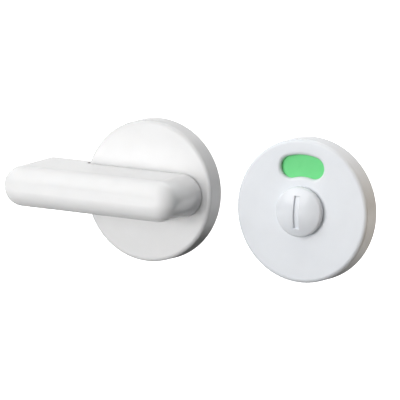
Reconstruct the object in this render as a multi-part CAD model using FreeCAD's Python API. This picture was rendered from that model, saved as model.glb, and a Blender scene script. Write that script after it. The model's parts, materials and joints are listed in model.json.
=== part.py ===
"""Bathroom thumb turn lock: the inside thumb turn and the outside release with its indicator.

Millimetres. X to the right, Z up, and the door's face is the plane y = 0: both halves stand in
front of it, towards -Y. The turn's axis is the Y axis.
"""
import FreeCAD, Part
import math
import os

# Rose, the same on both halves
rose_diameter = 52.0
rose_depth = 8.2
rose_wall = 2.2
rose_front_wall = 1.6
rose_edge_fillet = 1.4
rose_draft = 0.15
rose_door_gap = 0.2

# Place of the release half beside the turn half
halves_gap = 10.3
release_z = -0.9

# Lever, with its stadium outline given where it meets the rose
lever_left = 48.9
lever_right = 22.5
lever_half_height = 7.84
lever_height_off_door = 32.5
lever_draft_deg = 1.4
lever_front_fillet = 6.0
lever_back_chamfer = 0.5
lever_rose_gap = 0.7
lever_overhang_off_door = 3.6
lever_rim_gap = 0.7
lever_wall = 2.4
lever_front_wall = 6.6
lever_rib = 1.6

# Release knob and its coin slot
knob_diameter = 18.06
knob_skirt = 2.2
knob_dome = 2.2
knob_edge_fillet = 1.2
knob_back_chamfer = 0.35
knob_face_gap = 0.3
knob_neck_wall = 1.6
knob_roof = 1.5
knob_tenon_diameter = 10.4
knob_tenon_height = 7.6
coin_slot_length = 11.6
coin_slot_width = 1.9
coin_slot_depth = 0.7
coin_slot_chamfer = 0.2

# Indicator window, a curved slot about the release's axis
window_rim = 5.8
window_web = 3.3
window_half_angle = 16.5
window_lean = 1.7
window_edge_fillet = 1.2

# Spindle and hubs
spindle_square = 8.0
spindle_reach = 34.0
spindle_end_chamfer = 0.8
turn_hub_tail = 4.0
release_hub_tail = 9.0
tenon_wall = 1.15
tenon_flat_wall = 1.95
hub_shoulder = 1.1
hub_end_wall = 1.2
hub_flange_width = 2.6
turn_tenon_length = 15.2
grub_diameter = 4.0
grub_key = 2.0
grub_key_depth = 1.6
grub_sunk = 0.4
grub_from_rose = 6.5

# Bearing stack behind the cover
disc_thickness = 1.0
foil_thickness = 0.2
foil_margin = 0.9
foil_half_angle = 38.0
bush_wall = 1.25
bush_flange_width = 2.7
bush_flange_thickness = 0.8
web_thickness = 1.4
washer_width = 4.0
wave_height = 0.76
wave_thickness = 0.36
wave_count = 3
thrust_thickness = 0.5
ring_thickness = 1.0
ring_groove_depth = 0.4
ring_width = 2.0
ring_offset = 0.35
ring_gap_angle = 26.0
ring_lug_radius = 1.4
ring_lug_hole = 0.7

# Base plate
recess_margin = 0.8
stop_wall = 0.8
stop_lug_width = 1.8
stop_lug_half_angle = 3.5
turn_angle = 90.0
screw_hole_diameter = 4.4
screw_head_diameter = 8.4
screw_edge = 4.6
pocket_depth = 1.8
pocket_rim = 2.2
pocket_web = 0.7
snap_height = 0.35
snap_width = 1.0
snap_from_door = 1.5
key_width = 2.0
key_height = 0.7
pry_notch_width = 5.0
pry_notch_depth = 1.4

# Clearances
running_fit = 0.06
snug_fit = 0.05
touch_gap = 0.02
axial_gap = 0.05
side_gap = 0.3
plate_gap = 0.2
disc_gap = 0.25
knob_gap = 0.35
tenon_gap = 0.4

V = FreeCAD.Vector
ORIGIN = V(0, 0, 0)
Y_AXIS = V(0, 1, 0)
Z_AXIS = V(0, 0, 1)
RIGHT, UP, LEFT = 0.0, 90.0, 180.0

# Radii that follow from those sizes
rose_r = rose_diameter / 2
release_x = rose_diameter + halves_gap
cover_in_r = rose_r - rose_wall
base_r = cover_in_r - plate_gap
knob_r = knob_diameter / 2
socket = spindle_square + 2 * axial_gap
tenon_r = socket / math.sqrt(2) + tenon_wall
tenon_flat = socket / 2 + tenon_flat_wall
hub_r = tenon_r + hub_shoulder
bush_in_r = hub_r + running_fit
bush_r = bush_in_r + bush_wall
flange_r = bush_r + bush_flange_width
hub_flange_r = hub_r + hub_flange_width
washer_in_r = hub_r + plate_gap
washer_r = washer_in_r + washer_width
recess_r = washer_r + recess_margin
groove_r = hub_r - ring_groove_depth
stop_in_r = recess_r + stop_wall
stop_out_r = stop_in_r + stop_lug_width + 2 * side_gap
knob_tenon_r = knob_tenon_diameter / 2
knob_neck_r = knob_tenon_r + knob_neck_wall
knob_hole_r = knob_neck_r + knob_gap
window_in_r = knob_r + window_web
window_out_r = rose_r - window_rim
window_mid_r = (window_in_r + window_out_r) / 2
window_half_width = (window_out_r - window_in_r) / 2
window_angle = UP + window_lean
disc_r = base_r - key_height - 2 * side_gap
screw_r = base_r - screw_edge

# Depths, from the cover's front face back to the door
front_y = -rose_depth
cover_in_y = front_y + rose_front_wall
disc_front_y = cover_in_y + disc_gap
shoulder_y = disc_front_y + disc_thickness
flange_y = shoulder_y + axial_gap
plate_y = flange_y + bush_flange_thickness
web_y = plate_y + web_thickness
wave_y = web_y + touch_gap
thrust_y = wave_y + wave_height + touch_gap
ring_y = thrust_y + thrust_thickness + touch_gap
ring_back_y = ring_y + ring_thickness
lever_y = front_y - lever_rose_gap
lever_front_y = -lever_height_off_door
tenon_end_y = shoulder_y - turn_tenon_length
socket_end_y = tenon_end_y + hub_end_wall
grub_y = lever_y - grub_from_rose
knob_back_y = front_y - knob_face_gap
knob_dome_y = front_y - knob_skirt
knob_top_y = knob_dome_y - knob_dome
release_tenon_y = knob_top_y + coin_slot_depth + knob_roof


def turned(points):
    """Solid turned about the Y axis from (radius, y) corners."""
    corners = [V(r, y, 0) for r, y in points]
    return Part.Face(Part.makePolygon(corners + corners[:1])).revolve(ORIGIN, Y_AXIS, 360)


def rod(radius, y0, y1):
    return Part.makeCylinder(radius, y1 - y0, V(0, y0, 0), Y_AXIS)


def tube(r_in, r_out, y0, y1):
    return turned([(r_in, y0), (r_out, y0), (r_out, y1), (r_in, y1)])


def swung(shape, angle):
    """A copy turned about the axis, anticlockwise as seen from the front."""
    out = shape.copy()
    out.rotate(ORIGIN, Y_AXIS, -angle)
    return out


def sector(r_in, r_out, start, end, y0, y1):
    """Part of a tube, between two angles seen from the front."""
    corners = [V(r_in, y0, 0), V(r_out, y0, 0), V(r_out, y1, 0), V(r_in, y1, 0)]
    face = Part.Face(Part.makePolygon(corners + corners[:1]))
    return swung(face, start).revolve(ORIGIN, Y_AXIS, start - end)


def block(x0, x1, y0, y1, z0, z1):
    return Part.makeBox(x1 - x0, y1 - y0, z1 - z0, V(x0, y0, z0))


def double_d(radius, flat, y0, y1):
    """Round bar with two flats, above and below."""
    return rod(radius, y0, y1).common(block(-radius, radius, y0, y1, -flat, flat))


def square_bar(side, y0, y1):
    half = side / 2
    return block(-half, half, y0, y1, -half, half)


def stadium(y, inset):
    """The lever's outline at one depth, drawn in by the mould's draft and by inset."""
    inset = inset + (lever_y - y) * math.tan(math.radians(lever_draft_deg))
    h = lever_half_height - inset
    left = inset - lever_left
    right = lever_right - inset
    upper = Part.LineSegment(V(left + h, y, h), V(right - h, y, h))
    nose = Part.Arc(V(right - h, y, h), V(right, y, 0), V(right - h, y, -h))
    lower = Part.LineSegment(V(right - h, y, -h), V(left + h, y, -h))
    tail = Part.Arc(V(left + h, y, -h), V(left, y, 0), V(left + h, y, h))
    return Part.Wire([curve.toShape() for curve in (upper, nose, lower, tail)])


def stadium_block(y0, y1, inset):
    return Part.makeLoft([stadium(y0, inset), stadium(y1, inset)], True)


def edges_at(shape, y):
    """Edges that lie in the plane at this depth."""
    return [e for e in shape.Edges if all(abs(v.Y - y) < 1e-4 for v in e.Vertexes)
            and abs(e.CenterOfMass.y - y) < 1e-4]


def curved_slot(half_width, y0, y1):
    """The indicator window's shape: a slot with round ends that follows a circle."""
    body = sector(window_mid_r - half_width, window_mid_r + half_width,
                  window_angle - window_half_angle, window_angle + window_half_angle, y0, y1)
    for side in (-1, 1):
        end = rod(half_width, y0, y1)
        end.translate(V(window_mid_r, 0, 0))
        body = body.fuse(swung(end, window_angle + side * window_half_angle))
    return body.removeSplitter()


def rose_cover(hole_r):
    """Cup with a drafted, rounded side, a snap groove, two keys and a notch to pry it off."""
    top_r = rose_r - rose_draft
    back_y = -rose_door_gap
    outer = turned([(0, front_y), (top_r, front_y), (rose_r, back_y), (0, back_y)])
    outer = outer.makeFillet(rose_edge_fillet, edges_at(outer, front_y))
    cover = outer.cut(rod(cover_in_r, cover_in_y, 0)).cut(rod(hole_r, front_y, cover_in_y))
    snap_y = -snap_from_door - plate_gap
    groove_top = snap_y - snap_width + plate_gap
    cover = cover.cut(rod(cover_in_r + snap_height, groove_top - plate_gap, snap_y + 2 * plate_gap))
    for angle in (UP - 45, UP + 45):
        key = block(cover_in_r - key_height, cover_in_r + snap_height, cover_in_y,
                    back_y - snap_from_door / 2, -key_width / 2, key_width / 2)
        cover = cover.fuse(swung(key, angle))
    half = pry_notch_width / 2
    notch = block(-half, half, -pry_notch_depth, 0, -rose_r, -cover_in_r + rose_wall / 2)
    return cover.cut(notch).removeSplitter()


def base_plate():
    """Plate that is screwed to the door: bearing bore, ring recess, stop groove and snap ridge."""
    snap_y = -snap_from_door
    plate = turned([(0, plate_y), (base_r, plate_y), (base_r, snap_y - snap_width),
                    (base_r + snap_height, snap_y - snap_width / 2), (base_r, snap_y),
                    (base_r, 0), (0, 0)])
    plate = plate.cut(rod(bush_r + snug_fit, plate_y, 0)).cut(rod(recess_r, web_y, 0))
    slack = math.degrees(side_gap / stop_in_r) + stop_lug_half_angle
    half_sweep = turn_angle / 2 + slack
    plate = plate.cut(sector(stop_in_r, stop_out_r, -UP - half_sweep, -UP + half_sweep,
                             plate_y, web_y))
    hole_r = screw_hole_diameter / 2
    head_r = screw_head_diameter / 2
    for angle in (RIGHT, LEFT):
        hole = rod(hole_r, plate_y, 0)
        head = Part.makeCone(head_r, hole_r, head_r - hole_r, V(0, plate_y, 0), Y_AXIS)
        for tool in (hole, head):
            tool.translate(V(screw_r, 0, 0))
            plate = plate.cut(swung(tool, angle))
    pocket_in_r = stop_out_r + pocket_web
    boss = math.degrees(math.asin((head_r + pocket_web) / screw_r))
    rib = math.degrees(math.asin(pocket_rim / 2 / pocket_in_r))
    for angle in (0.0, 90.0, 180.0, 270.0):
        lead, lag = (boss, rib) if angle in (0.0, 180.0) else (rib, boss)
        plate = plate.cut(sector(pocket_in_r, base_r - pocket_rim, angle + lead, angle + 90 - lag,
                                 -pocket_depth, 0))
    for angle in (UP - 45, UP + 45):
        half = key_width / 2 + side_gap
        notch = block(base_r - key_height - side_gap, rose_r, plate_y, 0, -half, half)
        plate = plate.cut(swung(notch, angle))
    return plate


def bush():
    flange = tube(bush_in_r, flange_r, flange_y, plate_y)
    return flange.fuse(tube(bush_in_r, bush_r, plate_y, web_y - touch_gap)).removeSplitter()


def wave_washer():
    """Thin ring that waves up and down round its circle."""
    middle = wave_y + wave_height / 2
    swing = (wave_height - wave_thickness) / 2
    steps = wave_count * 8

    def edge(radius, side):
        points = []
        for i in range(steps):
            t = 2 * math.pi * i / steps
            y = middle + side * wave_thickness / 2 + swing * math.cos(wave_count * t)
            points.append(V(radius * math.cos(t), y, radius * math.sin(t)))
        curve = Part.BSplineCurve()
        curve.interpolate(Points=points, PeriodicFlag=True)
        return curve.toShape()

    loop = [edge(washer_in_r, -1), edge(washer_r, -1), edge(washer_r, 1), edge(washer_in_r, 1)]
    faces = [Part.makeRuledSurface(loop[i], loop[(i + 1) % 4]) for i in range(4)]
    shell = Part.makeShell(faces)
    shell.sewShape()
    solid = Part.makeSolid(shell)
    if solid.Volume < 0:
        solid.reverse()
    return solid


def thrust_washer():
    return tube(washer_in_r, washer_r, thrust_y, thrust_y + thrust_thickness)


def retaining_ring():
    """Spring ring, thickest opposite its gap, with an eyed lug on each side of the gap."""
    grip_r = groove_r + snug_fit
    body = rod(grip_r + ring_width, ring_y, ring_back_y)
    body.translate(V(0, 0, ring_offset))
    eyes = []
    for side in (-1, 1):
        angle = -UP + side * (ring_gap_angle / 2 + 5)
        reach = grip_r + ring_lug_radius
        lug = rod(ring_lug_radius, ring_y, ring_back_y)
        eye = rod(ring_lug_hole, ring_y, ring_back_y)
        for tool in (lug, eye):
            tool.translate(V(reach, 0, 0))
        body = body.fuse(swung(lug, angle))
        eyes.append(swung(eye, angle))
    gap = sector(0.1, 2 * hub_r, -UP - ring_gap_angle / 2, -UP + ring_gap_angle / 2,
                 ring_y, ring_back_y)
    body = body.cut(rod(grip_r, ring_y, ring_back_y)).cut(gap)
    for eye in eyes:
        body = body.cut(eye)
    return body.removeSplitter()


def hub(tenon, tail, socket_y):
    """Keyed tenon in front, round journal behind, a ring groove and a square socket."""
    body = tenon.fuse(rod(hub_r, shoulder_y, tail))
    groove = tube(groove_r, hub_r, ring_y - touch_gap / 2, ring_back_y + touch_gap / 2)
    return body.cut(groove).cut(square_bar(socket, socket_y, tail)).removeSplitter()


def turn_hub():
    """The longer hub, with a flange that runs on the bush and a screw hole for the lever."""
    tenon = double_d(tenon_r, tenon_flat, tenon_end_y, shoulder_y)
    body = hub(tenon, turn_hub_tail, socket_end_y)
    flange = tube(tenon_r - hub_shoulder, hub_flange_r, disc_front_y, shoulder_y)
    flange = flange.cut(square_bar(socket, disc_front_y, shoulder_y))
    return body.fuse(flange).cut(grub_hole(snug_fit)).removeSplitter()


def release_hub():
    """The shorter hub, with a solid tenon for the disc and the knob."""
    return hub(knob_tenon(0, release_tenon_y, shoulder_y), release_hub_tail, shoulder_y + hub_end_wall)


def knob_tenon(clearance, y0, y1):
    return double_d(knob_tenon_r + clearance, knob_tenon_height / 2 + clearance, y0, y1)


def turn_lever():
    """Drafted block with a round front, stepped back past the rose's rim and hollow behind."""
    back_y = -lever_overhang_off_door
    body = stadium_block(back_y, lever_front_y, 0)
    body = body.makeFillet(lever_front_fillet, edges_at(body, lever_front_y))
    body = body.makeChamfer(lever_back_chamfer, edges_at(body, back_y))
    relief_r = rose_r + lever_rim_gap
    body = body.cut(rod(relief_r, lever_y, back_y))
    hollow = stadium_block(back_y, lever_front_y + lever_front_wall, lever_wall)
    hollow = hollow.cut(rod(relief_r + lever_wall, lever_front_y, back_y))
    middle = -(lever_left + relief_r) / 2
    rib = block(middle - lever_rib / 2, middle + lever_rib / 2, lever_front_y, back_y + lever_wall,
                -lever_half_height, lever_half_height)
    hollow = hollow.cut(block(0, 2 * lever_right, lever_front_y, back_y,
                              -2 * lever_half_height, 2 * lever_half_height)).cut(rib)
    pocket = double_d(tenon_r + snug_fit, tenon_flat + snug_fit, tenon_end_y - touch_gap, shoulder_y)
    body = body.cut(hollow).cut(pocket)
    return body.cut(grub_hole(side_gap)).removeSplitter()


def release_knob():
    """Domed head that stands on the cover's face, a shallow coin slot, and a neck through the cover."""
    cap_r = (knob_r ** 2 + knob_dome ** 2) / (2 * knob_dome)
    centre = V(0, knob_top_y + cap_r, 0)
    dome = Part.makeSphere(cap_r, centre).fuse(rod(2 * knob_r, knob_dome_y, knob_back_y))
    head = rod(knob_r, knob_top_y, knob_back_y).common(dome).removeSplitter()
    half = coin_slot_length / 2
    slot = block(-coin_slot_width / 2, coin_slot_width / 2, knob_top_y, knob_dome_y, -half, half)
    head = head.cut(slot.cut(Part.makeSphere(cap_r - coin_slot_depth, centre)))
    slot_rim = []
    for edge in head.Edges:
        midway = edge.valueAt((edge.FirstParameter + edge.LastParameter) / 2)
        on_dome = abs(midway.distanceToPoint(centre) - cap_r) < touch_gap
        if on_dome and edge.BoundBox.ZMax < half + touch_gap and edge.BoundBox.ZMin > -half - touch_gap:
            slot_rim.append(edge)
    head = head.makeChamfer(coin_slot_chamfer, slot_rim)
    head = head.makeFillet(knob_edge_fillet, edges_at(head, knob_dome_y))
    head = head.makeChamfer(knob_back_chamfer, edges_at(head, knob_back_y))
    knob = head.fuse(rod(knob_neck_r, knob_back_y, disc_front_y))
    return knob.cut(knob_tenon(snug_fit, release_tenon_y - touch_gap, disc_front_y)).removeSplitter()


def field(centre, inset):
    """A colour field's outline on the disc."""
    trim = math.degrees(inset / window_mid_r)
    return sector(window_in_r - foil_margin + inset, window_out_r + foil_margin - inset,
                  centre - foil_half_angle + trim, centre + foil_half_angle - trim,
                  disc_front_y, disc_front_y + foil_thickness)


def indicator_disc():
    disc = rod(disc_r, disc_front_y, shoulder_y).cut(knob_tenon(snug_fit, disc_front_y, shoulder_y))
    for centre in (window_angle, window_angle - turn_angle):
        disc = disc.cut(field(centre, 0))
    middle = -UP - turn_angle / 2
    lug = sector(stop_in_r + side_gap, stop_out_r - side_gap, middle - stop_lug_half_angle,
                 middle + stop_lug_half_angle, shoulder_y, web_y - side_gap)
    return disc.fuse(lug)


def release_cover():
    cover = rose_cover(knob_hole_r).cut(curved_slot(window_half_width, front_y, cover_in_y))
    top = window_mid_r + window_half_width
    rim = [e for e in edges_at(cover, front_y) if e.BoundBox.ZMin > knob_hole_r + touch_gap
           and e.BoundBox.ZMax < top + touch_gap]
    return cover.makeFillet(window_edge_fillet, rim)


def grub_hole(clearance):
    """Screw hole up into the hub from under the lever."""
    return Part.makeCylinder(grub_diameter / 2 + clearance, 2 * lever_half_height - socket / 2,
                             V(0, grub_y, -2 * lever_half_height), Z_AXIS)


def grub_screw():
    """Headless screw with a hexagon socket, tightened on the spindle from under the lever."""
    low = grub_sunk - lever_half_height
    top = -spindle_square / 2 - touch_gap
    screw = Part.makeCylinder(grub_diameter / 2, top - low, V(0, grub_y, low), Z_AXIS)
    rim = [e for e in screw.Edges if e.Closed and abs(e.CenterOfMass.z - top) < 1e-4]
    screw = screw.makeChamfer(grub_sunk, rim)
    corners = []
    for i in range(7):
        t = math.radians(60 * i)
        corner_r = grub_key / math.sqrt(3)
        corners.append(V(corner_r * math.cos(t), grub_y + corner_r * math.sin(t), low))
    key = Part.Face(Part.makePolygon(corners)).extrude(V(0, 0, grub_key_depth))
    return screw.cut(key)


def spindle():
    bar = square_bar(spindle_square, socket_end_y + axial_gap, spindle_reach)
    bar = bar.makeChamfer(spindle_end_chamfer, edges_at(bar, spindle_reach))
    return bar


turn_half = {
    "turn_lever": turn_lever(),
    "turn_hub": turn_hub(),
    "spindle": spindle(),
    "grub_screw": grub_screw(),
    "turn_rose_cover": rose_cover(tenon_r + tenon_gap),
    "turn_base_plate": base_plate(),
    "turn_bush": bush(),
    "turn_wave_washer": wave_washer(),
    "turn_thrust_washer": thrust_washer(),
    "turn_retaining_ring": retaining_ring(),
}

release_half = {
    "release_knob": release_knob(),
    "release_hub": release_hub(),
    "indicator_disc": indicator_disc(),
    "vacant_foil": field(window_angle, snug_fit),
    "engaged_foil": field(window_angle - turn_angle, snug_fit),
    "release_rose_cover": release_cover(),
    "release_base_plate": base_plate(),
    "release_bush": bush(),
    "release_wave_washer": wave_washer(),
    "release_thrust_washer": thrust_washer(),
    "release_retaining_ring": retaining_ring(),
}

os.makedirs("parts", exist_ok=True)
for shape in release_half.values():
    shape.translate(V(release_x, 0, release_z))
for name, shape in {**turn_half, **release_half}.items():
    solids = shape.Solids
    print(name, len(solids), shape.isValid(), round(shape.Volume, 1))
    solids[0].exportStep("parts/" + name + ".step")
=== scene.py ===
# %% [markdown]
# A bathroom lock in two halves: the thumb turn for the inside of the door, and the outside
# release with its indicator window. The solid model gives every piece its shape and place, so
# this lesson is about what makes white nylon, plated steel and printed foil look like themselves.

import json
import math

import bpy
from mathutils import Matrix, Vector

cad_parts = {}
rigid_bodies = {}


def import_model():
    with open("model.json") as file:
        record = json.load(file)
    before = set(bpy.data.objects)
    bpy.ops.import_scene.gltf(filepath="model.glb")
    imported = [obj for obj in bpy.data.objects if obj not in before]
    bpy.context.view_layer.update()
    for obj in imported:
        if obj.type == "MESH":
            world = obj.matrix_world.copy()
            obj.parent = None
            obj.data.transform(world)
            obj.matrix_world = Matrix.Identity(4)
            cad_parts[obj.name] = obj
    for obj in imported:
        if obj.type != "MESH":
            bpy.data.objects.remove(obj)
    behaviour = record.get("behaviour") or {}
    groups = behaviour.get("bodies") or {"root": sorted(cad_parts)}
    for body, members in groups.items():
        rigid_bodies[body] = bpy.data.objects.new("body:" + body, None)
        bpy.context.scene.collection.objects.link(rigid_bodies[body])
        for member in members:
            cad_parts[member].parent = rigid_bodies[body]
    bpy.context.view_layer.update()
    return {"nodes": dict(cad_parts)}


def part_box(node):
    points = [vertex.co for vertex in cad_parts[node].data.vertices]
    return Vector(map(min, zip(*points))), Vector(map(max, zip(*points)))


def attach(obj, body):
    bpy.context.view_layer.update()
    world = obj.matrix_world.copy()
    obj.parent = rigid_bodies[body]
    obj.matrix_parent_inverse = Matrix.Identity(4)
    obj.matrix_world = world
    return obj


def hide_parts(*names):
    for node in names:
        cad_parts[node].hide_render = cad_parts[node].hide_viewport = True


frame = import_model()
nodes = frame["nodes"]

# %% [markdown]
# The turn's axis runs through the origin, along Y. The release has an axis of its own, which is
# the middle of its round cover, so it is read from the model and not typed in.

# %% Find the release's axis
turn_axis = Vector((0.0, 0.0, 0.0))
cover_low, cover_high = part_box("release_rose_cover")
release_axis = Vector(((cover_low[0] + cover_high[0]) / 2, 0.0, (cover_low[2] + cover_high[2]) / 2))
print("release axis at", [round(1000 * c, 2) for c in release_axis], "mm")

# %% [markdown]
# Every finish below starts from the same few nodes: a Principled shader, and the piece's own
# Object coordinates in metres. A pattern on Object coordinates stays on the piece when it turns,
# and a noise scale of 1000 then means grains about a millimetre across. A noise runs from 0 to 1
# but seldom comes near either end, so its middle part is what is spread over a range.

# %% Helpers for finishes
WHITE = (1, 1, 1, 1)
BLACK = (0, 0, 0, 1)
NOISE_RANGE = (0.3, 0.7)


class Wiring:
    """A tree of nodes under construction."""

    def add(self, kind, **settings):
        node = self.tree.nodes.new(kind)
        for key, value in settings.items():
            setattr(node, key, value)
        return node

    def link(self, source, target):
        self.tree.links.new(source, target)


class Finish(Wiring):
    """A material, with short ways to add the nodes that a finish needs."""

    def __init__(self, name):
        self.material = bpy.data.materials.new(name)
        self.material.use_nodes = True
        self.tree = self.material.node_tree
        self.shader = self.tree.nodes["Principled BSDF"]
        self.place = self.add("ShaderNodeTexCoord").outputs["Object"]

    def feed(self, source, name):
        """Links a socket to one of the shader's inputs."""
        self.link(source, self.shader.inputs[name])

    def set(self, **values):
        for key, value in values.items():
            self.shader.inputs[key.replace("_", " ")].default_value = value

    def stretched(self, scale):
        node = self.add("ShaderNodeMapping")
        node.inputs["Scale"].default_value = scale
        self.link(self.place, node.inputs["Vector"])
        return node.outputs["Vector"]

    def noise(self, scale, detail=3.0, at=None):
        node = self.add("ShaderNodeTexNoise")
        node.inputs["Scale"].default_value = scale
        node.inputs["Detail"].default_value = detail
        self.link(at or self.place, node.inputs["Vector"])
        return node.outputs["Fac"]

    def spread(self, amount, before, after):
        """Maps one range of values to another."""
        node = self.add("ShaderNodeMapRange")
        for name, value in zip(("From Min", "From Max", "To Min", "To Max"), (*before, *after)):
            node.inputs[name].default_value = value
        self.link(amount, node.inputs["Value"])
        return node.outputs["Result"]

    def tint(self, amount, dark, light):
        node = self.add("ShaderNodeValToRGB")
        for stop, position, colour in zip(node.color_ramp.elements, NOISE_RANGE, (dark, light)):
            stop.position = position
            stop.color = (*colour, 1)
        self.link(amount, node.inputs["Fac"])
        self.feed(node.outputs["Color"], "Base Color")

    def roughness(self, amount, low, high):
        self.feed(self.spread(amount, NOISE_RANGE, (low, high)), "Roughness")

    def bump(self, height, strength, distance):
        node = self.add("ShaderNodeBump")
        node.inputs["Strength"].default_value = strength
        node.inputs["Distance"].default_value = distance
        self.link(height, node.inputs["Height"])
        self.feed(node.outputs["Normal"], "Normal")

    def shine_white(self, strength):
        """Makes the surface glow, as strongly as a socket says."""
        self.set(Emission_Color=WHITE)
        self.feed(strength, "Emission Strength")


def even(shade):
    """A grey."""
    return (shade, shade, shade)


def paint(material, *names):
    """Gives a finish to pieces of the solid model."""
    for name in names:
        for slot in nodes[name].material_slots:
            slot.material = material
    print(material.name, "on", ", ".join(names))


# %% [markdown]
# The lever, covers and knob are moulded in nylon from a polished mould. Such a skin is glossy but
# not a mirror: it has a faint orange peel, the gloss drifts a little where the melt cooled faster,
# and light enters the surface before it comes back. So the shade varies by two hundredths, the
# roughness by a few hundredths, and a little subsurface light softens the shadows.

# %% White nylon
GLOSS_DRIFT = 0.05


def moulded_nylon(name, dark, light, gloss):
    finish = Finish(name)
    finish.set(IOR=1.52, Subsurface_Weight=0.12, Subsurface_Scale=0.0012,
               Subsurface_Radius=(1.0, 0.9, 0.8))
    finish.tint(finish.noise(scale=140.0), dark, light)
    finish.roughness(finish.noise(scale=60.0), low=gloss, high=gloss + GLOSS_DRIFT)
    finish.bump(finish.noise(scale=700.0, detail=2.0), strength=0.05, distance=0.00008)
    return finish.material


# Painted light and shade: the three whites are one nylon; their different shades and the release's
# bluish tint are set to how bright each piece looks under the light of its half.
lever_white = moulded_nylon("lever_white_nylon", even(0.85), even(0.87), gloss=0.08)
turn_white = moulded_nylon("turn_white_nylon", even(0.76), even(0.78), gloss=0.10)
release_white = moulded_nylon("release_white_nylon", dark=(0.77, 0.795, 0.83),
                              light=(0.79, 0.815, 0.85), gloss=0.12)
paint(lever_white, "turn_lever")
paint(turn_white, "turn_rose_cover")
paint(release_white, "release_rose_cover", "release_knob")

# %% [markdown]
# The colour fields are thin printed foils. Ink lies a little unevenly, so the colour drifts by a
# few hundredths, and the foil keeps the faint ripple of the disc under it.

# %% Printed foils
def printed_foil(name, dark, light):
    finish = Finish(name)
    finish.set(IOR=1.48)
    finish.tint(finish.noise(scale=260.0, detail=4.0), dark, light)
    finish.roughness(finish.noise(scale=120.0), low=0.32, high=0.42)
    finish.bump(finish.noise(scale=1500.0, detail=2.0), strength=0.04, distance=0.00006)
    return finish.material


paint(printed_foil("green_ink", (0.145, 0.68, 0.235), (0.165, 0.71, 0.255)), "vacant_foil")
paint(printed_foil("red_ink", (0.58, 0.035, 0.03), (0.64, 0.05, 0.04)), "engaged_foil")

# %% [markdown]
# Behind the covers the mouldings are plain: the base plates come from a spark-eroded mould and
# feel like fine sandpaper, the disc is smoother, and the bushes are waxy natural acetal. One
# function with a grain size serves all three.

# %% Matt mouldings
def matt_moulding(name, dark, light, grain, depth):
    finish = Finish(name)
    finish.set(IOR=1.5)
    finish.tint(finish.noise(scale=220.0), dark, light)
    finish.roughness(finish.noise(scale=90.0), low=0.50, high=0.62)
    finish.bump(finish.noise(scale=grain, detail=4.0), strength=0.35, distance=depth)
    return finish.material


base_nylon = matt_moulding("base_plate_nylon", (0.70, 0.70, 0.68), (0.76, 0.76, 0.74),
                           grain=3200.0, depth=0.0001)
paint(base_nylon, "turn_base_plate", "release_base_plate")
paint(matt_moulding("disc_moulding", even(0.78), even(0.82), grain=1800.0, depth=0.00005),
      "indicator_disc")
paint(matt_moulding("bush_moulding", (0.80, 0.79, 0.75), (0.84, 0.83, 0.80),
                    grain=1200.0, depth=0.00004),
      "turn_bush", "release_bush")

# %% [markdown]
# Metal parts differ in how they were made. Cast hubs have a fine pebbled skin. The spindle is cold
# drawn, so its scratches run along its length, and such streaks come from a noise that is
# stretched along Y. Spring parts are dark from their phosphate bath.

# %% Metals
POLISH_DRIFT = 0.14


def metal(name, dark, light, rough, grain, strength, stretch=(1.0, 1.0, 1.0)):
    finish = Finish(name)
    finish.set(Metallic=1.0)
    at = finish.stretched(stretch)
    polish = finish.noise(scale=700.0, detail=4.0, at=at)
    finish.tint(finish.noise(scale=400.0, detail=5.0, at=at), dark, light)
    finish.roughness(polish, low=rough, high=rough + POLISH_DRIFT)
    finish.bump(finish.noise(scale=grain, detail=4.0, at=at), strength, distance=0.00006)
    return finish.material


paint(metal("cast_hub", (0.28, 0.28, 0.29), (0.38, 0.38, 0.39),
            rough=0.36, grain=2400.0, strength=0.35),
      "turn_hub", "release_hub")
paint(metal("drawn_steel", (0.34, 0.34, 0.33), (0.46, 0.46, 0.45),
            rough=0.24, grain=2600.0, strength=0.20, stretch=(1.0, 0.03, 1.0)),
      "spindle")
paint(metal("plated_washer", (0.42, 0.43, 0.44), (0.52, 0.52, 0.51),
            rough=0.26, grain=3000.0, strength=0.15),
      "turn_thrust_washer", "release_thrust_washer")
spring_steel = metal("phosphate_steel", (0.13, 0.13, 0.14), (0.20, 0.20, 0.21),
                     rough=0.34, grain=2800.0, strength=0.25)
paint(spring_steel, "turn_retaining_ring", "release_retaining_ring")
paint(metal("black_screw", (0.05, 0.05, 0.055), (0.09, 0.09, 0.095),
            rough=0.40, grain=3000.0, strength=0.25),
      "grub_screw")

# %% [markdown]
# Two small things on this lock follow a rule and not a drawing, so Geometry Nodes make them. A tree
# has named inputs for its sizes. The helper below keeps the wiring short: it adds nodes, does
# arithmetic with sockets or plain numbers, and ends the tree in Realize Instances and Set Material.

# %% Helper for Geometry Nodes
SHARP_ANGLE = math.radians(35)


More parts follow.
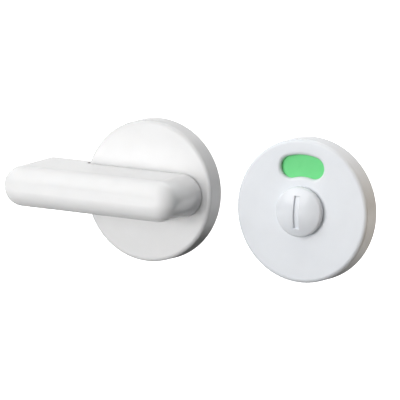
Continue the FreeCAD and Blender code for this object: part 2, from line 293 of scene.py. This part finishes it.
class Recipe(Wiring):
    """A Geometry Nodes tree, with named inputs for its sizes."""

    def __init__(self, name, **kinds):
        self.tree = bpy.data.node_groups.new(name, "GeometryNodeTree")
        self.tree.interface.new_socket("Mesh", in_out="OUTPUT", socket_type="NodeSocketGeometry")
        for key, kind in kinds.items():
            self.tree.interface.new_socket(key, in_out="INPUT", socket_type="NodeSocket" + kind)
        self.given = self.add("NodeGroupInput").outputs

    def put(self, value, target):
        """Links a socket, or sets a plain value."""
        if isinstance(value, bpy.types.NodeSocket):
            self.link(value, target)
        else:
            target.default_value = value

    def calc(self, operation, *values):
        node = self.add("ShaderNodeMath", operation=operation)
        for value, target in zip(values, node.inputs):
            self.put(value, target)
        return node.outputs[0]

    def vector(self, x, y, z):
        node = self.add("ShaderNodeCombineXYZ")
        for value, target in zip((x, y, z), node.inputs):
            self.put(value, target)
        return node.outputs[0]

    def move(self, mesh, translation=(0, 0, 0), rotation=(0, 0, 0)):
        node = self.add("GeometryNodeTransform")
        self.put(mesh, node.inputs["Geometry"])
        self.put(translation, node.inputs["Translation"])
        self.put(rotation, node.inputs["Rotation"])
        return node.outputs["Geometry"]

    def end(self, mesh, material):
        real = self.add("GeometryNodeRealizeInstances")
        self.put(mesh, real.inputs["Geometry"])
        dressed = self.add("GeometryNodeSetMaterial")
        self.put(real.outputs["Geometry"], dressed.inputs["Geometry"])
        dressed.inputs["Material"].default_value = material
        self.put(dressed.outputs["Geometry"], self.add("NodeGroupOutput").inputs["Mesh"])
        return self.tree


def grow(tree, name, material, **sizes):
    """Runs a tree once and keeps its result as a plain mesh, with one material and no modifier."""
    piece = bpy.data.objects.new(name, bpy.data.meshes.new(name))
    bpy.context.collection.objects.link(piece)
    modifier = piece.modifiers.new(name, "NODES")
    modifier.node_group = tree
    for item in tree.interface.items_tree:
        if item.in_out == "INPUT":
            modifier[item.identifier] = sizes[item.name]
    ready = piece.evaluated_get(bpy.context.evaluated_depsgraph_get())
    mesh = bpy.data.meshes.new_from_object(ready)
    piece.modifiers.clear()
    piece.data = mesh
    mesh.materials.clear()
    mesh.materials.append(material)
    mesh.polygons.foreach_set("material_index", [0] * len(mesh.polygons))
    mesh.shade_smooth()
    mesh.set_sharp_from_angle(angle=SHARP_ANGLE)
    print(name, "has", len(mesh.polygons), "faces")
    return piece


# %% [markdown]
# The wave washers press each hub lightly forward, so that it doesn't rattle. A wave washer is a
# flat ring whose height goes up and down as a cosine of the angle round it. So a grid is rolled up:
# its length becomes the angle, and its five rows become the four corners of a thin section and
# back to the first. Corners 1 and 2 are at the back and corners 2 and 3 at the outside, which two
# Compare nodes tell.

# %% Wave washers
RING_STEPS = 192
SECTION_CORNERS = 4
MERGE_DISTANCE = 1e-6


def wave_ring(material):
    ring = Recipe("wave_ring", Inner="Float", Outer="Float", Height="Float", Thickness="Float",
                  Waves="Float", Centre="Vector")
    given = ring.given
    grid = ring.add("GeometryNodeMeshGrid")
    grid.inputs["Vertices X"].default_value = RING_STEPS + 1
    grid.inputs["Vertices Y"].default_value = SECTION_CORNERS + 1
    place = ring.add("ShaderNodeSeparateXYZ")
    ring.put(ring.add("GeometryNodeInputPosition").outputs[0], place.inputs[0])
    along = ring.calc("ADD", place.outputs["X"], 0.5)
    across = ring.calc("ADD", place.outputs["Y"], 0.5)
    angle = ring.calc("MULTIPLY", along, 2 * math.pi)
    corner = ring.calc("MULTIPLY", across, float(SECTION_CORNERS))
    is_back = ring.calc("COMPARE", corner, 1.5, 0.75)
    is_outer = ring.calc("COMPARE", corner, 2.5, 0.75)
    width = ring.calc("SUBTRACT", given["Outer"], given["Inner"])
    radius = ring.calc("MULTIPLY_ADD", is_outer, width, given["Inner"])
    swing = ring.calc("MULTIPLY", ring.calc("SUBTRACT", given["Height"], given["Thickness"]), 0.5)
    cosine = ring.calc("COSINE", ring.calc("MULTIPLY", angle, given["Waves"]))
    wave = ring.calc("MULTIPLY", swing, cosine)
    side = ring.calc("MULTIPLY", ring.calc("SUBTRACT", is_back, 0.5), given["Thickness"])
    rolled = ring.add("GeometryNodeSetPosition")
    ring.put(grid.outputs["Mesh"], rolled.inputs["Geometry"])
    point = ring.vector(ring.calc("MULTIPLY", radius, ring.calc("COSINE", angle)),
                        ring.calc("ADD", wave, side),
                        ring.calc("MULTIPLY", radius, ring.calc("SINE", angle)))
    ring.put(point, rolled.inputs["Position"])
    closed = ring.add("GeometryNodeMergeByDistance")
    closed.inputs["Distance"].default_value = MERGE_DISTANCE
    ring.put(rolled.outputs["Geometry"], closed.inputs["Geometry"])
    return ring.end(ring.move(closed.outputs["Geometry"], given["Centre"]), material)


WAVE_WIDTH = 0.004
WAVE_THICKNESS = 0.00036
WAVE_COUNT = 3.0

wave_tree = wave_ring(spring_steel)
for half in ("turn", "release"):
    low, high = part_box(half + "_wave_washer")
    outer = (high[0] - low[0]) / 2
    middle = (Vector(low) + Vector(high)) / 2
    washer = grow(wave_tree, half + "_wave_spring", spring_steel,
                  Inner=outer - WAVE_WIDTH, Outer=outer, Height=high[1] - low[1],
                  Thickness=WAVE_THICKNESS, Waves=WAVE_COUNT, Centre=middle)
    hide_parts(half + "_wave_washer")
    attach(washer, "base")

# %% [markdown]
# A moulded plate keeps small round witness marks where the pins of the mould pushed it out. They
# sit in a ring, one on the floor of each pocket, so one disc is set on the points of a circle. The
# disc tapers a little and starts just under the floor, so that no two faces lie in one plane.

# %% Pin marks on the base plates
PIN_COUNT = 4
PIN_FACETS = 64
PIN_TAPER = 0.95


def pin_marks(material):
    marks = Recipe("pin_marks", Reach="Float", Pin="Float", Proud="Float", Turned="Float",
                   Centre="Vector")
    given = marks.given
    circle = marks.add("GeometryNodeMeshCircle")
    circle.inputs["Vertices"].default_value = PIN_COUNT
    marks.put(given["Reach"], circle.inputs["Radius"])
    pin = marks.add("GeometryNodeMeshCone")
    pin.inputs["Vertices"].default_value = PIN_FACETS
    marks.put(marks.calc("MULTIPLY", given["Pin"], PIN_TAPER), pin.inputs["Radius Top"])
    marks.put(given["Pin"], pin.inputs["Radius Bottom"])
    marks.put(given["Proud"], pin.inputs["Depth"])
    placed = marks.add("GeometryNodeInstanceOnPoints")
    marks.put(circle.outputs["Mesh"], placed.inputs["Points"])
    marks.put(pin.outputs["Mesh"], placed.inputs["Instance"])
    spin = marks.vector(0.0, 0.0, given["Turned"])
    turned = marks.move(placed.outputs["Instances"], rotation=spin)
    upright = marks.move(turned, given["Centre"], (-math.pi / 2, 0.0, 0.0))
    return marks.end(upright, material)


POCKET_FLOOR_Y = -0.0018
PIN_REACH = 0.0191
PIN_RADIUS = 0.0014
PIN_PROUD = 0.0001
PIN_SUNK = 0.00002
PIN_TURN = math.radians(45)

pin_tree = pin_marks(base_nylon)
for half, axis in (("turn", turn_axis), ("release", release_axis)):
    pins = grow(pin_tree, half + "_pin_marks", base_nylon,
                Reach=PIN_REACH, Pin=PIN_RADIUS, Proud=PIN_PROUD, Turned=PIN_TURN,
                Centre=axis + Vector((0, POCKET_FLOOR_Y - PIN_SUNK, 0)))
    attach(pins, "base")

# %% [markdown]
# The photograph has no floor line: the lock hangs in plain white. A pale floor lies well below it,
# lit by the same lamps, so it keeps a soft shadow that other views show. Further off, where the
# lamps fade, the floor glows white by itself, but only for rays that look at it, so that it adds no
# light to the lock. For the light that bounces, the floor counts as dark: the underside of the lock
# in the photograph is dark too.

# %% Floor
def rays_that_look(tree):
    """One for a camera, glossy or transmitted ray, and nothing for light that bounces."""
    path = tree.nodes.new("ShaderNodeLightPath")
    total = path.outputs["Is Camera Ray"]
    for name in ("Is Glossy Ray", "Is Transmission Ray"):
        node = tree.nodes.new("ShaderNodeMath")
        node.operation = "MAXIMUM"
        tree.links.new(total, node.inputs[0])
        tree.links.new(path.outputs[name], node.inputs[1])
        total = node.outputs[0]
    return total


def flat_sheet(name, corners, place):
    """A level sheet with its corners around a place."""
    mesh = bpy.data.meshes.new(name)
    mesh.from_pydata([(x, y, 0) for x, y in corners], [], [range(len(corners))])
    sheet = bpy.data.objects.new(name, mesh)
    sheet.location = place
    bpy.context.collection.objects.link(sheet)
    return sheet


LOCK_MIDDLE = Vector((0.03, 0.0, 0.0))
FLOOR_Z = -0.16
FLOOR_CORNERS = [(-6, -6), (6, -6), (6, 6), (-6, 6)]
FLOOR_SHADE, FLOOR_BOUNCE = 0.9, 0.06
GLOW_DISTANCE = (0.22, 0.6)
GLOW_STRENGTH = (0.22, 1.0)

floor = flat_sheet("floor", FLOOR_CORNERS, LOCK_MIDDLE + Vector((0.0, 0.0, FLOOR_Z)))
pale = Finish("pale_floor")
pale.set(Roughness=0.9, Specular_IOR_Level=0.1)
seen = rays_that_look(pale.tree)

shade = pale.add("ShaderNodeMix", data_type="RGBA")
shade.inputs["A"].default_value = (*even(FLOOR_BOUNCE), 1)
shade.inputs["B"].default_value = (*even(FLOOR_SHADE), 1)
pale.link(seen, shade.inputs["Factor"])
pale.feed(shade.outputs["Result"], "Base Color")

distance = pale.add("ShaderNodeVectorMath", operation="LENGTH")
pale.link(pale.place, distance.inputs[0])
looked_at = pale.add("ShaderNodeMath", operation="MULTIPLY")
glow = pale.spread(distance.outputs["Value"], GLOW_DISTANCE, GLOW_STRENGTH)
pale.link(glow, looked_at.inputs[0])
pale.link(seen, looked_at.inputs[1])
pale.shine_white(looked_at.outputs[0])
floor.data.materials.append(pale.material)
print("floor at", FLOOR_Z)

# %% [markdown]
# Gloss needs something dark to show. In the photograph the turn's rim, low on the right, mirrors a
# dark thing below and behind the lock, so a grey card lies on the floor there. Only glossy rays see
# it: it throws no shadow, and it isn't in any picture itself. Its slanting edge fades to the white
# of the floor, because a hard edge would show in the rim as a corner.

# %% Dark card
CARD_CORNERS = [(-0.5, 0.2), (0.17, 0.2), (-0.13, 0.6), (-0.5, 0.6)]
CARD_LIFT = 0.002
CARD_GREY = 0.12
FADE_TOWARDS = Vector((-0.8, -0.6, 0.0))
FADE_WIDTH = 0.10

card = flat_sheet("dark_card", CARD_CORNERS, (0.0, 0.0, FLOOR_Z + CARD_LIFT))
card_grey = Finish("card_grey")
card_grey.set(Base_Color=BLACK, Roughness=1.0, Specular_IOR_Level=0.0)
inwards = card_grey.add("ShaderNodeVectorMath", operation="DOT_PRODUCT")
inwards.inputs[1].default_value = FADE_TOWARDS
card_grey.link(card_grey.place, inwards.inputs[0])
edge = FADE_TOWARDS.dot((*CARD_CORNERS[1], 0.0))
fade = card_grey.spread(inwards.outputs["Value"], (edge, edge + FADE_WIDTH), (1.0, CARD_GREY))
card_grey.shine_white(fade)
card.data.materials.append(card_grey.material)
card.visible_camera = False
card.visible_diffuse = False
card.visible_transmission = False
card.visible_shadow = False
print("dark card with", len(CARD_CORNERS), "corners")

# %% [markdown]
# The world works the same way: white where a ray looks at it, and a modest soft light otherwise.

# %% World
AMBIENT = 0.11

world = bpy.data.worlds.new("white_room")
world.use_nodes = True
background = world.node_tree.nodes["Background"]
background.inputs["Color"].default_value = WHITE
level = world.node_tree.nodes.new("ShaderNodeMapRange")
level.inputs["To Min"].default_value = AMBIENT
level.inputs["To Max"].default_value = 1.0
world.node_tree.links.new(rays_that_look(world.node_tree), level.inputs["Value"])
world.node_tree.links.new(level.outputs["Result"], background.inputs["Strength"])
bpy.context.scene.world = world
bpy.context.scene.view_settings.view_transform = "Standard"
print("ambient", AMBIENT)

# %% [markdown]
# The light in the photograph comes from the front and the left, as from a tall window, and its
# shadows are weak. It isn't the same on both halves: the turn is lit more from the front, and the
# release more from the window. Light linking gives each half its own share: a lamp with a receiver
# collection lights only the pieces in it, and every piece still throws its shadow. The floor goes
# with the turn.

# %% Sort the pieces by half
halves = {"turn": [floor], "release": []}
for piece in bpy.data.objects:
    if piece.type == "MESH" and piece not in (floor, card):
        middle_x = sum(corner[0] for corner in piece.bound_box) / len(piece.bound_box)
        halves["release" if middle_x > release_axis.x / 2 else "turn"].append(piece)
print({half: len(pieces) for half, pieces in halves.items()})

# %% [markdown]
# A low panel fills the shadows of both halves, and two more light the tops. Fill panels don't show
# in the gloss, because they would draw streaks that the photograph doesn't have. A small warm card
# stands close to the release, on the right, where its rim is a warm grey. The panel behind is for
# views of the back.

# %% Lamps
def panel(name, place, size, power, shine, colour=(1, 1, 1), only=None):
    """A soft light, wide by tall, that looks at the middle of the lock. It may show in the gloss,
    and it may be linked to some pieces only."""
    data = bpy.data.lights.new(name, "AREA")
    data.shape = "RECTANGLE"
    data.size, data.size_y = size
    data.energy = power
    data.color = colour
    lamp = bpy.data.objects.new(name, data)
    lamp.location = place
    aim = LOCK_MIDDLE - Vector(place)
    lamp.rotation_euler = aim.to_track_quat("-Z", "Y").to_euler()
    lamp.visible_glossy = shine
    bpy.context.collection.objects.link(lamp)
    if only:
        lit = bpy.data.collections.new(name + "_lights")
        for piece in only:
            lit.objects.link(piece)
        lamp.light_linking.receiver_collection = lit
    print(name, "at", place, "power", power)


WINDOW_AT, WINDOW_SIZE = (-1.0, -1.9, 1.0), (2.4, 1.6)
WARM = (1.0, 0.77, 0.5)

panel("turn_window_panel", WINDOW_AT, WINDOW_SIZE, power=7.5, shine=True, only=halves["turn"])
panel("release_window_panel", WINDOW_AT, WINDOW_SIZE, power=28.0, shine=True,
      only=halves["release"])
panel("front_panel", (0.0, -2.0, 0.3), (1.6, 1.0), power=12.6, shine=False, only=halves["turn"])
panel("low_panel", (-0.35, -1.3, 0.06), (0.9, 0.4), power=8.8, shine=False)
panel("top_panel", (0.0, -0.1, 1.5), (1.2, 1.2), power=10.5, shine=False)
panel("back_panel", (0.0, 1.0, 1.2), (1.0, 1.0), power=5.0, shine=True)
panel("behind_panel", (0.03, 2.0, 0.4), (1.2, 1.2), power=14.0, shine=False)
panel("warm_card", (0.15, 0.0, 0.02), (0.06, 0.10), power=0.014, shine=False, colour=WARM,
      only=halves["release"])

# %% [markdown]
# The camera stands about a metre and a half away with a long lens, to the right of the lock and a
# little above it, and leans by two degrees. These values come from fitting the outlines of both
# round covers. The lens is turned towards the middle of the picture, so it needs no shift.

# %% Camera
AZIMUTH, ELEVATION, ROLL = math.radians(28.31), math.radians(8.72), math.radians(1.90)
DISTANCE = 1.5
PICTURE = 400
PIXELS_PER_METRE = 2744.0
ORIGIN_AT = (158.28, 188.46)
SENSOR = 36.0

back = Vector((math.sin(AZIMUTH) * math.cos(ELEVATION),
               -math.cos(AZIMUTH) * math.cos(ELEVATION),
               math.sin(ELEVATION)))
level_right = Vector((math.cos(AZIMUTH), math.sin(AZIMUTH), 0.0))
level_up = back.cross(level_right)
right = level_right * math.cos(ROLL) + level_up * math.sin(ROLL)
up = level_up * math.cos(ROLL) - level_right * math.sin(ROLL)
focal = PIXELS_PER_METRE * DISTANCE
off_right, off_down = PICTURE / 2 - ORIGIN_AT[0], PICTURE / 2 - ORIGIN_AT[1]
turned_back = (back * focal - right * off_right + up * off_down).normalized()
turned_right = up.cross(turned_back).normalized()
turned_up = turned_back.cross(turned_right)

camera_data = bpy.data.cameras.new("camera")
camera_data.sensor_width = SENSOR
camera_data.lens = SENSOR * focal / PICTURE
camera = bpy.data.objects.new("camera", camera_data)
axes = Matrix((turned_right, turned_up, turned_back)).transposed().to_4x4()
camera.matrix_world = Matrix.Translation(back * DISTANCE) @ axes
bpy.context.collection.objects.link(camera)
bpy.context.scene.camera = camera
print("lens", round(camera_data.lens, 1), "mm")
